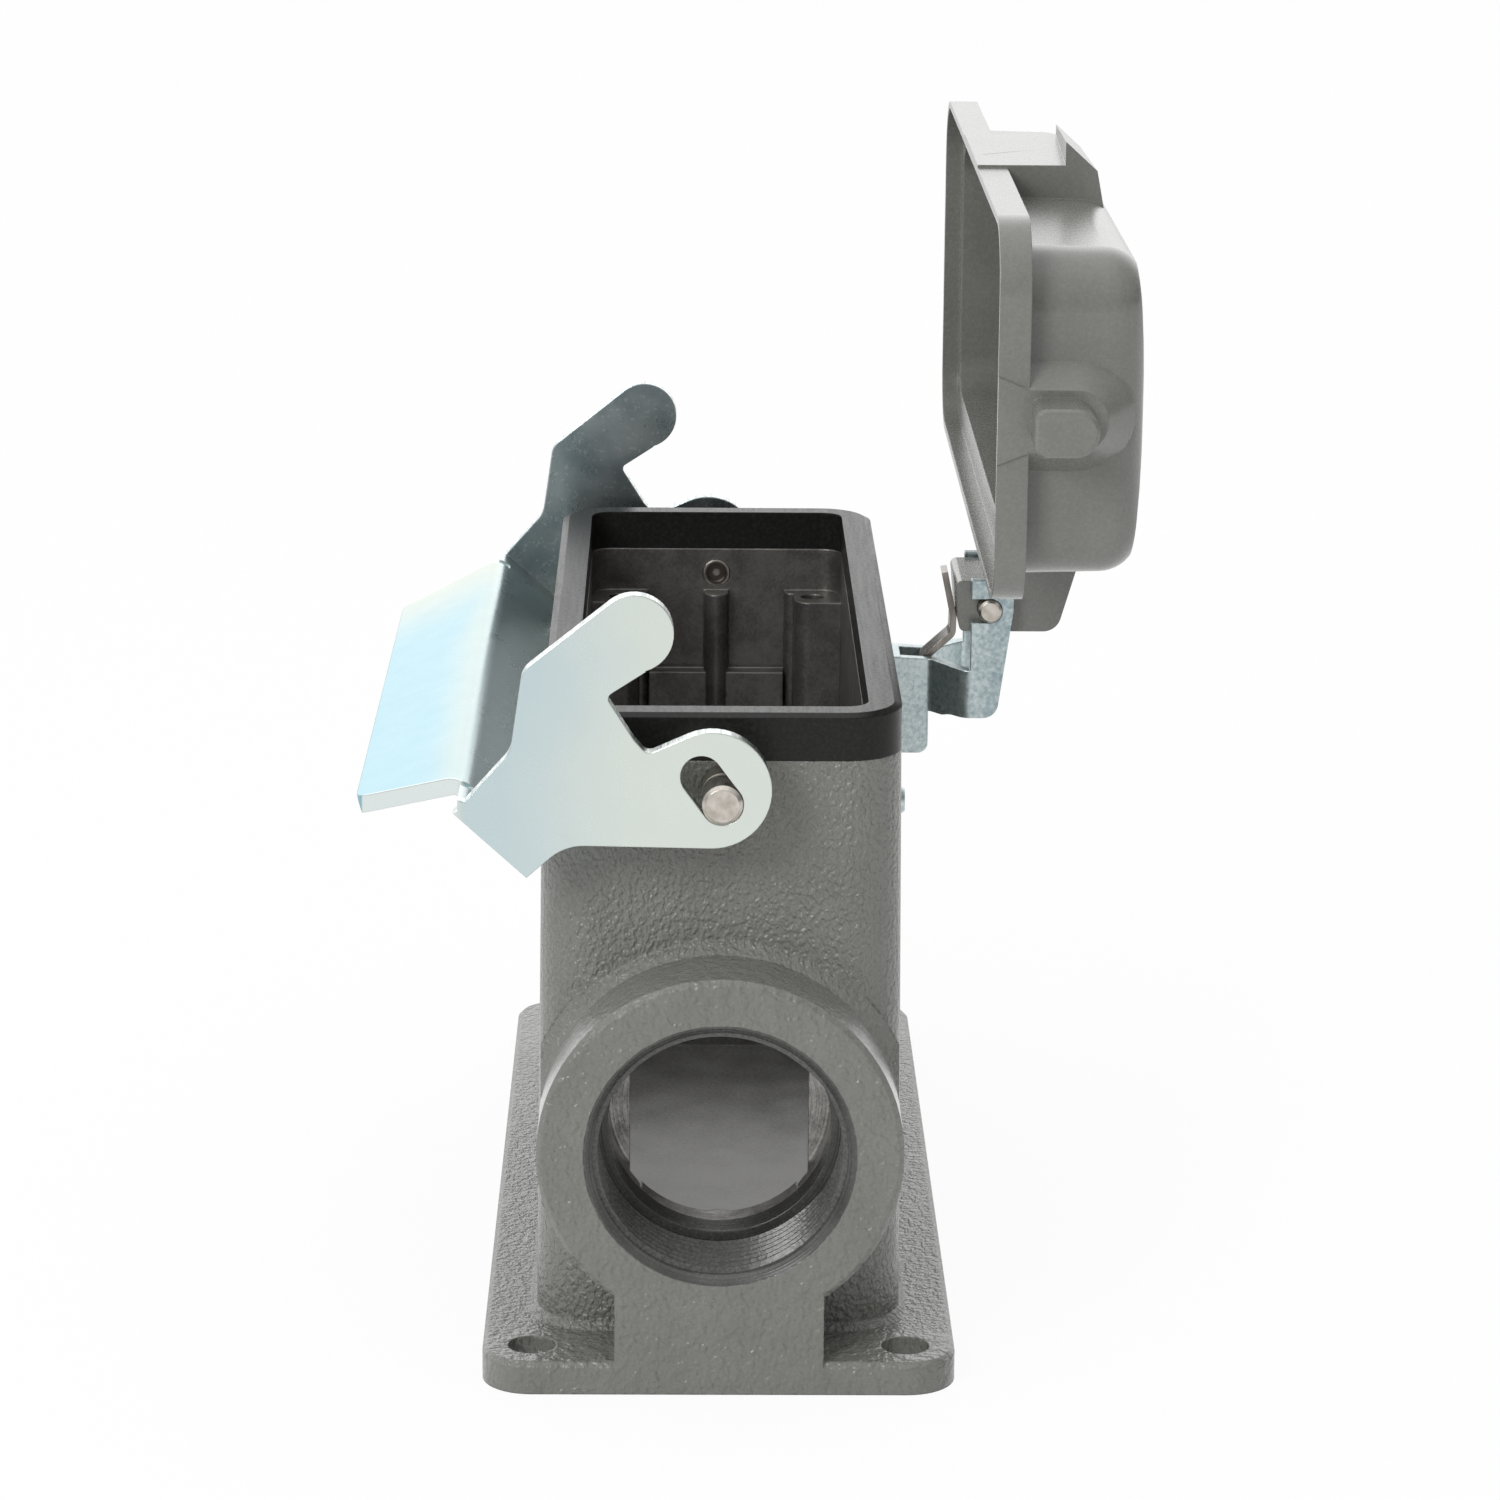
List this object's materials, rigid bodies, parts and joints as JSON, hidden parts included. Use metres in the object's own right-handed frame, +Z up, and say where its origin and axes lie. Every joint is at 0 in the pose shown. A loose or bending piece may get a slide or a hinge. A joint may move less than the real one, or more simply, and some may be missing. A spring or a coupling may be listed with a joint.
{
  "type": "connector housing",
  "caption": "Surface-mounting rectangular connector housing with a threaded side cable entry, a hooked locking lever and a hinged protective cover.",
  "frame": {"origin": "centre of the base flange's underside, the middle of its hole pattern", "axes": "+Z up out of the mounting surface, +Y along the long side away from the cable entry, +X towards the side that carries the cover's hinge"},
  "size_m": [0.0931, 0.144, 0.1426],
  "materials": {
    "cast_body": "die cast, grey powder coat",
    "cast_cover": "die cast, grey powder coat",
    "gasket_rubber": "moulded, smooth",
    "lever_zinc": "sheet, zinc plated",
    "bracket_zinc": "sheet, zinc plated",
    "turned_pin": "turned stainless",
    "hinge_pin_steel": "ground stainless",
    "rivet_steel": "zinc plated",
    "spring_steel": "spring strip"
  },
  "bodies": {
    "housing": {"housing_body": "cast_body", "collar_gasket": "gasket_rubber", "lever_pin_front": "turned_pin", "lever_pin_rear": "turned_pin", "hinge_bracket": "bracket_zinc", "bracket_rivet_upper": "rivet_steel", "bracket_rivet_lower": "rivet_steel", "hinge_pin": "hinge_pin_steel", "hinge_spring": "spring_steel"},
    "lever": {"locking_lever": "lever_zinc"},
    "lid": {"cover": "cast_cover"}
  },
  "joints": [
    {"name": "lever_hinge", "type": "hinge", "parent": "housing", "child": "lever", "pos_m": [0, 0, 0.0723], "axis": [0, 1, 0], "range_deg": [0, 26]},
    {"name": "cover_hinge", "type": "hinge", "parent": "housing", "child": "lid", "pos_m": [0.0346, 0, 0.0819], "axis": [0, 1, 0], "range_deg": [-90, 0], "deforming": ["hinge_spring"]}
  ]
}
